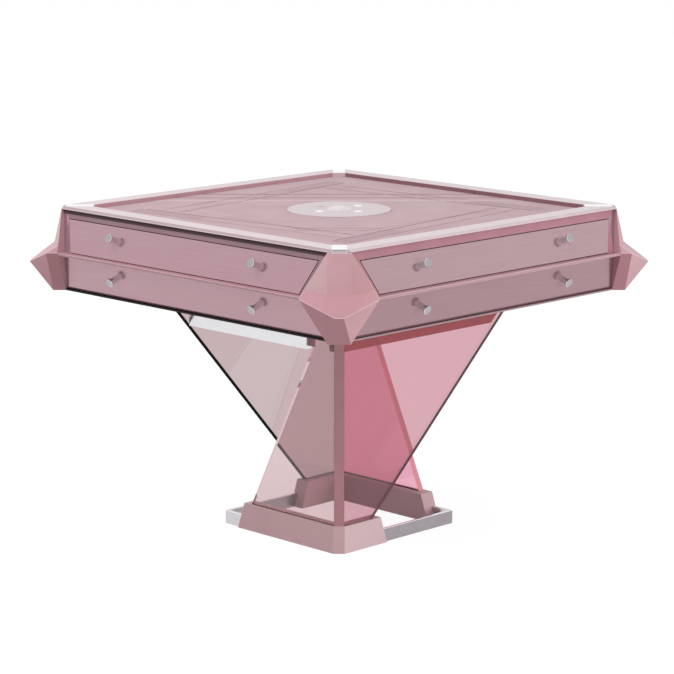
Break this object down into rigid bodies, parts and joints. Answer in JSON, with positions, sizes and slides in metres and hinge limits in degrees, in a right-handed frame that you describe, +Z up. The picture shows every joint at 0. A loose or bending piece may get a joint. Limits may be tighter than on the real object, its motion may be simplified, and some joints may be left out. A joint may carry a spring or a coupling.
{
  "type": "automatic mahjong table",
  "caption": "Square automatic mahjong table with faceted corner castings and drawers on each side, on a crossed pedestal of tinted glass plates.",
  "frame": {"origin": "on the floor, under the middle of the table", "axes": "+Z up; +X and +Y square to the table's sides; the pictured front corner is at +X, -Y"},
  "size_m": [1.0658, 1.0658, 0.76],
  "materials": {
    "felt": "short-pile table felt glued on a board, dusty rose",
    "rim_paint": "anodised pale rose, satin",
    "cap_metal": "polished",
    "casting_paint": "moulded ABS with satin rose paint",
    "front_metal": "brushed and anodised rose, satin",
    "tray_plastic": "moulded, matte",
    "liner_paint": "deep rose enamel, satin",
    "knob_chrome": "polished",
    "rail_metal": "anodised rose, satin",
    "body_sheet": "powder coated",
    "ring_steel": "polished stainless",
    "foot_paint": "satin rose enamel",
    "bar_metal": "anodised brown-rose, satin",
    "tinted_glass": "rose tinted float glass, polished edges",
    "bearer_paint": "deep rose enamel",
    "cross_steel": "polished",
    "mechanism_steel": "zinc plated",
    "drum_plastic": "moulded, matte",
    "lifter_felt": "moulded plate with a flocked top",
    "disc_plastic": "moulded, satin",
    "dome_plastic": "moulded, milky",
    "button_plastic": "moulded, glossy",
    "dice_plastic": "moulded, glossy"
  },
  "bodies": {
    "table": {"base_ring": "ring_steel", "front_foot": "foot_paint", "rear_foot": "foot_paint", "corner_bars": "bar_metal", "south_glass": "tinted_glass", "east_glass": "tinted_glass", "north_glass": "tinted_glass", "west_glass": "tinted_glass", "bearers": "bearer_paint", "cross_rails": "cross_steel", "bottom_pan": "body_sheet", "machine_housing": "body_sheet", "mid_rails": "rail_metal", "sill_rails": "rail_metal", "bay_liners": "liner_paint", "corner_northeast": "casting_paint", "corner_northwest": "casting_paint", "corner_southwest": "casting_paint", "corner_southeast": "casting_paint", "rim_strips": "rim_paint", "rim_corner_caps": "cap_metal", "playing_board": "felt", "lift_bridge": "mechanism_steel", "drum_spindle": "mechanism_steel"},
    "dice_unit": {"dice_housing": "disc_plastic", "dice_dome": "dome_plastic", "dice": "dice_plastic"},
    "drum": {"shuffle_drum": "drum_plastic"},
    "east_upper_drawer": {"east_upper_front": "front_metal", "east_upper_tray": "tray_plastic", "east_upper_knobs": "knob_chrome"},
    "east_lower_drawer": {"east_lower_front": "front_metal", "east_lower_tray": "tray_plastic", "east_lower_knobs": "knob_chrome"},
    "east_tile_lifter": {"east_lifter": "lifter_felt"},
    "east_dice_button": {"east_button": "button_plastic"},
    "north_upper_drawer": {"north_upper_front": "front_metal", "north_upper_tray": "tray_plastic", "north_upper_knobs": "knob_chrome"},
    "north_lower_drawer": {"north_lower_front": "front_metal", "north_lower_tray": "tray_plastic", "north_lower_knobs": "knob_chrome"},
    "north_tile_lifter": {"north_lifter": "lifter_felt"},
    "north_dice_button": {"north_button": "button_plastic"},
    "west_upper_drawer": {"west_upper_front": "front_metal", "west_upper_tray": "tray_plastic", "west_upper_knobs": "knob_chrome"},
    "west_lower_drawer": {"west_lower_front": "front_metal", "west_lower_tray": "tray_plastic", "west_lower_knobs": "knob_chrome"},
    "west_tile_lifter": {"west_lifter": "lifter_felt"},
    "west_dice_button": {"west_button": "button_plastic"},
    "south_upper_drawer": {"south_upper_front": "front_metal", "south_upper_tray": "tray_plastic", "south_upper_knobs": "knob_chrome"},
    "south_lower_drawer": {"south_lower_front": "front_metal", "south_lower_tray": "tray_plastic", "south_lower_knobs": "knob_chrome"},
    "south_tile_lifter": {"south_lifter": "lifter_felt"},
    "south_dice_button": {"south_button": "button_plastic"}
  },
  "joints": [
    {"name": "dice_unit_lift", "type": "slide", "parent": "table", "child": "dice_unit", "axis": [0, 0, 1], "range_m": [0, 0.05]},
    {"name": "drum_turn", "type": "hinge", "parent": "table", "child": "drum", "pos_m": [0, 0, 0.6], "axis": [0, 0, 1], "continuous": true},
    {"name": "east_upper_drawer_slide", "type": "slide", "parent": "table", "child": "east_upper_drawer", "axis": [1, 0, 0], "range_m": [0, 0.11]},
    {"name": "east_lower_drawer_slide", "type": "slide", "parent": "table", "child": "east_lower_drawer", "axis": [1, 0, 0], "range_m": [0, 0.11]},
    {"name": "east_lifter_slide", "type": "slide", "parent": "table", "child": "east_tile_lifter", "axis": [0, 0, 1], "range_m": [-0.045, 0]},
    {"name": "east_button_press", "type": "slide", "parent": "dice_unit", "child": "east_dice_button", "axis": [0, 0, 1], "range_m": [-0.0015, 0], "stiffness_N_per_m": 200, "springref_m": 0.002},
    {"name": "north_upper_drawer_slide", "type": "slide", "parent": "table", "child": "north_upper_drawer", "axis": [0, 1, 0], "range_m": [0, 0.11]},
    {"name": "north_lower_drawer_slide", "type": "slide", "parent": "table", "child": "north_lower_drawer", "axis": [0, 1, 0], "range_m": [0, 0.11]},
    {"name": "north_lifter_slide", "type": "slide", "parent": "table", "child": "north_tile_lifter", "axis": [0, 0, 1], "range_m": [-0.045, 0]},
    {"name": "north_button_press", "type": "slide", "parent": "dice_unit", "child": "north_dice_button", "axis": [0, 0, 1], "range_m": [-0.0015, 0], "stiffness_N_per_m": 200, "springref_m": 0.002},
    {"name": "west_upper_drawer_slide", "type": "slide", "parent": "table", "child": "west_upper_drawer", "axis": [-1, 0, 0], "range_m": [0, 0.11]},
    {"name": "west_lower_drawer_slide", "type": "slide", "parent": "table", "child": "west_lower_drawer", "axis": [-1, 0, 0], "range_m": [0, 0.11]},
    {"name": "west_lifter_slide", "type": "slide", "parent": "table", "child": "west_tile_lifter", "axis": [0, 0, 1], "range_m": [-0.045, 0]},
    {"name": "west_button_press", "type": "slide", "parent": "dice_unit", "child": "west_dice_button", "axis": [0, 0, 1], "range_m": [-0.0015, 0], "stiffness_N_per_m": 200, "springref_m": 0.002},
    {"name": "south_upper_drawer_slide", "type": "slide", "parent": "table", "child": "south_upper_drawer", "axis": [0, -1, 0], "range_m": [0, 0.11]},
    {"name": "south_lower_drawer_slide", "type": "slide", "parent": "table", "child": "south_lower_drawer", "axis": [0, -1, 0], "range_m": [0, 0.11]},
    {"name": "south_lifter_slide", "type": "slide", "parent": "table", "child": "south_tile_lifter", "axis": [0, 0, 1], "range_m": [-0.045, 0]},
    {"name": "south_button_press", "type": "slide", "parent": "dice_unit", "child": "south_dice_button", "axis": [0, 0, 1], "range_m": [-0.0015, 0], "stiffness_N_per_m": 200, "springref_m": 0.002}
  ]
}
